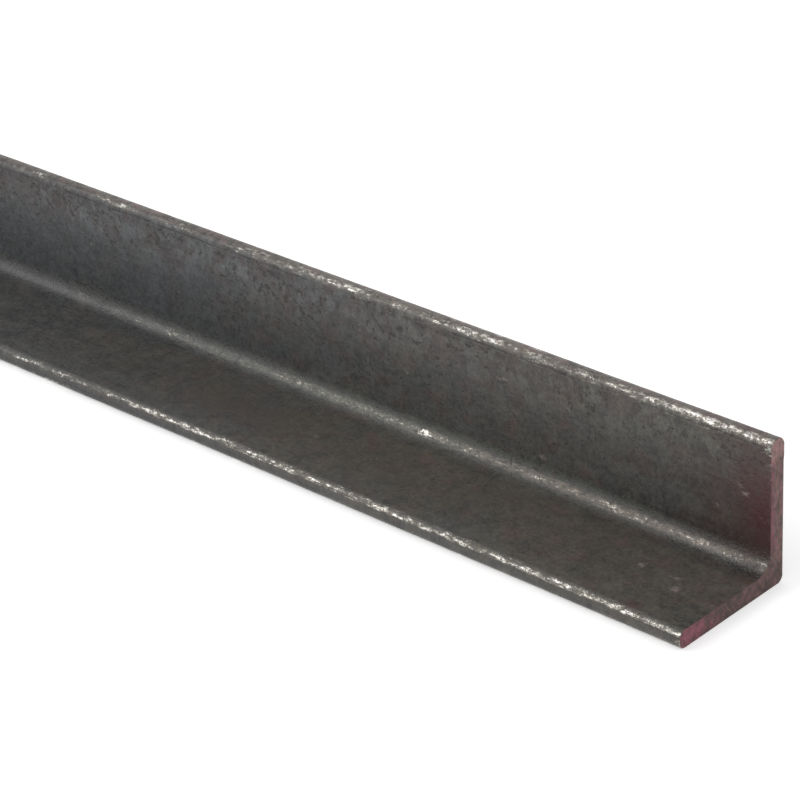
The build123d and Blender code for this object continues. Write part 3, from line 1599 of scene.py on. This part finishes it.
    def measure_girth(self) -> None:
        """Works out how far round the girth each point of the mesh is."""
        tip = Vector((0.0, self.leg / 2 - self.thickness / 2, self.leg))
        heel = Vector((0.0, self.leg / 2, 0.0))
        mesh = bmesh.new()
        mesh.from_mesh(self.thing.data)
        places = self.walk_round(mesh, tip)
        mesh.free()
        passed = [0.0]
        for a, b in zip(places, places[1:] + places[:1]):
            passed.append(passed[-1] + (b - a).length / MM)
        self.total_girth = passed[-1]
        seam = min(range(len(places)), key=lambda k: (places[k] - heel).length)
        offset = (places[0] - tip).length / MM * (1 if places[0].y < tip.y else -1)
        tree = kdtree.KDTree(len(places))
        for k, place in enumerate(places):
            tree.insert(place, k)
        tree.balance()
        wrapped = [a - self.total_girth if k > seam else a for k, a in enumerate(passed[:-1])]
        points = self.thing.data.vertices
        self.girth = np.array([wrapped[tree.find((0.0, p.co.y, p.co.z))[1]] + offset for p in points])
        self.keep(Field.GIRTH, self.girth)

    def points(self) -> np.ndarray:
        """The place of each point of the mesh, in millimetres."""
        flat = np.empty(len(self.thing.data.vertices) * 3)
        self.thing.data.vertices.foreach_get("co", flat)
        return flat.reshape(-1, 3) / MM

    def keep(self, kind: Field, numbers: np.ndarray) -> None:
        """Stores a number at each point of the mesh."""
        made = self.thing.data.attributes.new(kind.value, "FLOAT", "POINT")
        made.data.foreach_set("value", numbers.astype(np.float32))

    def mark(self) -> None:
        """Puts the wear, scuffs, stains and paint haze on the mesh; the face of a cut has no wear."""
        distance = self.half_mm - self.points()[:, 0]
        shortest, longest = self.fades_mm
        wear = np.zeros_like(distance)
        for mark in [mark for track in TRACKS for mark in track.marks(self.length / MM)] + list(RUBBED + RIM):
            fade = min(longest, max(shortest, mark.length * self.fade_share))
            wear = np.maximum(wear, mark.at(distance, self.girth, fade))
        self.keep(Field.WEAR, np.where(distance < TOUCHING / MM, 0.0, wear))
        for kind, marks in ((Field.SCUFF, SCUFFS), (Field.STAIN, STAINS), (Field.HAZE, HAZES)):
            self.keep(kind, np.maximum.reduce([mark.at(distance, self.girth) for mark in marks]))

    def lay_out(self) -> None:
        """Lays the skin out flat: the two halves of the bar as strips, and the ends beside them."""
        mesh, margin = self.thing.data, self.sheet.margin_mm
        corners = np.empty(len(mesh.loops), dtype=np.int32)
        starts, counts = np.empty((2, len(mesh.polygons)), dtype=np.int32)
        normals = np.empty(len(mesh.polygons) * 3)
        mesh.loops.foreach_get("vertex_index", corners)
        mesh.polygons.foreach_get("loop_start", starts)
        mesh.polygons.foreach_get("loop_total", counts)
        mesh.polygons.foreach_get("normal", normals)
        owner = np.repeat(np.arange(len(starts)), counts)
        x, y, z = self.points()[corners].T
        girth = self.girth[corners]
        spans = np.maximum.reduceat(girth, starts) - np.minimum.reduceat(girth, starts)
        wraps = (spans[owner] > self.total_girth / 2) & (girth < 0)
        girth = np.where(wraps, girth + self.total_girth, girth)
        middle = (np.add.reduceat(x, starts) / counts)[owner]
        at_end = (np.abs(normals.reshape(-1, 3)[:, 0]) > FACING)[owner]
        break_mm = self.end_break / MM
        into = np.clip((np.abs(x) - (self.half_mm - break_mm)) / break_mm, 0.0, 1.0)
        run = np.minimum(np.abs(x), self.half_mm - break_mm) + break_mm * np.arcsin(into)
        row = np.where(middle >= 0, 0.0, self.total_girth + margin)
        end_u = margin * 2 + self.half_mm + (y + self.leg / MM / 2) * self.sheet.end_scale
        end_v = row + margin + z * self.sheet.end_scale
        u = np.where(at_end, end_u, run + margin / 2)
        v = np.where(at_end, end_v, row + girth - float(self.girth.min()) + margin / 2)
        layer = mesh.uv_layers.new(name=BAKE_MAP)
        layer.data.foreach_set("uv", (np.stack([u, v], 1) / self.sheet.size_mm).astype(np.float32).ravel())

    def weather(self) -> None:
        """Gives the bar its faults: the long sways, the ripple of the rolls and the nicked tips."""
        mm = self.points()
        up, reach = mm[:, 2], self.leg / MM / 2 - mm[:, 1]
        for fault in self.faults:
            self.assign(fault.name, fault.share(up, reach, self.girth))
            cloud = bpy.data.textures.new(fault.name, "CLOUDS")
            cloud.noise_scale = fault.size_mm * MM
            cloud.noise_depth = fault.layers
            push = self.thing.modifiers.new(fault.name, "DISPLACE")
            push.texture = cloud
            push.texture_coords = "LOCAL"
            push.direction = fault.axis.value
            push.mid_level = HALF
            push.strength = fault.swing_mm * MM
            push.vertex_group = fault.name
            alone(self.thing)
            bpy.ops.object.modifier_apply(modifier=fault.name)
            bpy.data.textures.remove(cloud)
        self.thing.vertex_groups.clear()

    def assign(self, name: str, share: np.ndarray) -> None:
        """Makes a vertex group.

        Args:
            name: Its name.
            share: The weight of each point.
        """
        group = self.thing.vertex_groups.new(name=name)
        rounded = np.rint(np.clip(share, 0.0, 1.0) * self.weights).astype(int)
        for level in range(1, self.weights + 1):
            members = np.flatnonzero(rounded == level).tolist()
            if members:
                group.add(members, level / self.weights, "REPLACE")

    def dress(self) -> None:
        """Smooths the bar's shading and gives it its finish."""
        alone(self.thing)
        bpy.ops.object.shade_smooth_by_angle(angle=self.smooth_angle)
        self.thing.data.materials.clear()
        self.thing.data.materials.append(steel_finish(self.half_mm))


# The studio


@dataclass
class Studio:
    """A pale floor, a white surround and one large soft lamp over the camera's left shoulder.

    Attributes:
        floor_size: The width of the floor.
        floor_colour: How much light the floor gives back.
        floor_glow: What is added where the camera or a reflection sees the floor, so that it is white.
        surround: How strongly the surround lights what isn't a mirror.
        lamp_way: Where the lamp is from the bar.
        lamp_distance: How far away it is.
        lamp_size: Its width.
        lamp_watts: Its power.
        camera_place: Where the camera is.
        camera_turn: How it is turned, in degrees.
        camera_lens: Its focal length in millimetres.
        camera_sensor: Its sensor's width in millimetres.
        camera_clip: How near and how far it sees.
    """

    floor_size: float = 12.0
    floor_colour: Colour = (0.8, 0.8, 0.8, 1.0)
    floor_glow: float = 0.4
    surround: float = 0.8
    lamp_way: Triple = (-0.5, -0.52, 0.69)
    lamp_distance: float = 1.6
    lamp_size: float = 0.9
    lamp_watts: float = 7.0
    camera_place: Triple = (392.631 * MM, -318.993 * MM, 250.343 * MM)
    camera_turn: Triple = (61.967, 2.675, 42.475)
    camera_lens: float = 140.1705
    camera_sensor: float = 36.0
    camera_clip: tuple[float, float] = (10 * MM, 100.0)

    def place_camera(self) -> None:
        """Sets the camera up."""
        lens = bpy.data.cameras.new("camera")
        lens.lens = self.camera_lens
        lens.sensor_width = self.camera_sensor
        lens.clip_start, lens.clip_end = self.camera_clip
        camera = bpy.data.objects.new("camera", lens)
        camera.location = self.camera_place
        camera.rotation_euler = tuple(math.radians(turn) for turn in self.camera_turn)
        bpy.context.scene.collection.objects.link(camera)
        bpy.context.scene.camera = camera

    def lay_floor(self) -> bpy.types.Object:
        """Lays the floor under the bar.

        Returns:
            The floor.
        """
        alone(None)
        bpy.ops.mesh.primitive_plane_add(size=self.floor_size, location=(0, 0, 0))
        floor = bpy.context.active_object
        floor.name = "studio_floor"
        material = bpy.data.materials.new("studio_floor")
        graph = Graph(material)
        diffuse = graph.node("ShaderNodeBsdfDiffuse", {}, {"Color": self.floor_colour})
        strength = self.seen(graph) * self.floor_glow
        glow = graph.node("ShaderNodeEmission", {}, {"Color": WHITE, "Strength": strength})
        both = graph.node("ShaderNodeAddShader", {}, {0: diffuse.outputs[0], 1: glow.outputs[0]})
        graph.node("ShaderNodeOutputMaterial", {}, {"Surface": both.outputs[0]})
        floor.data.materials.append(material)
        return floor

    @staticmethod
    def seen(graph: Graph) -> Value:
        """Tells what is looked at from what gives light.

        Args:
            graph: The node tree to add to.

        Returns:
            1 where the camera, a reflection or a view through something looks, and 0 for light on things.
        """
        path = graph.node("ShaderNodeLightPath")
        names = ("Is Camera Ray", "Is Glossy Ray", "Is Transmission Ray")
        camera, glossy, through = (Value(graph, path.outputs[name]) for name in names)
        return camera.most(glossy).most(through)

    def light(self) -> None:
        """Lights the studio with a white surround and a soft lamp."""
        world = bpy.data.worlds.new("surround")
        graph = Graph(world)
        strength = graph.blend_values(self.seen(graph), self.surround, 1.0)
        background = graph.node("ShaderNodeBackground", {}, {"Color": WHITE, "Strength": strength})
        graph.node("ShaderNodeOutputWorld", {}, {"Surface": background.outputs[0]})
        bpy.context.scene.world = world
        lamp = bpy.data.lights.new("soft_lamp", "AREA")
        lamp.shape = "SQUARE"
        lamp.size = self.lamp_size
        lamp.energy = self.lamp_watts
        held = bpy.data.objects.new("soft_lamp", lamp)
        way = Vector(self.lamp_way).normalized()
        held.location = way * self.lamp_distance
        held.rotation_euler = way.to_track_quat("Z", "Y").to_euler()
        bpy.context.scene.collection.objects.link(held)


def main() -> None:
    """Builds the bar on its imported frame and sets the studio."""
    logging.basicConfig(level=logging.INFO, format="%(name)s: %(message)s", stream=sys.stdout)
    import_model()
    studio = Studio()
    studio.place_camera()
    bar = RolledAngle().make()
    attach(bar, BODY)
    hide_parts(NODE)
    triangles = sum(len(face.vertices) - 2 for face in bar.data.polygons)
    log.info("%s: %d points, %d triangles", bar.name, len(bar.data.vertices), triangles)
    studio.lay_floor()
    studio.light()
    bpy.context.scene.view_settings.view_transform = "Standard"


if __name__ == "__main__":
    main()
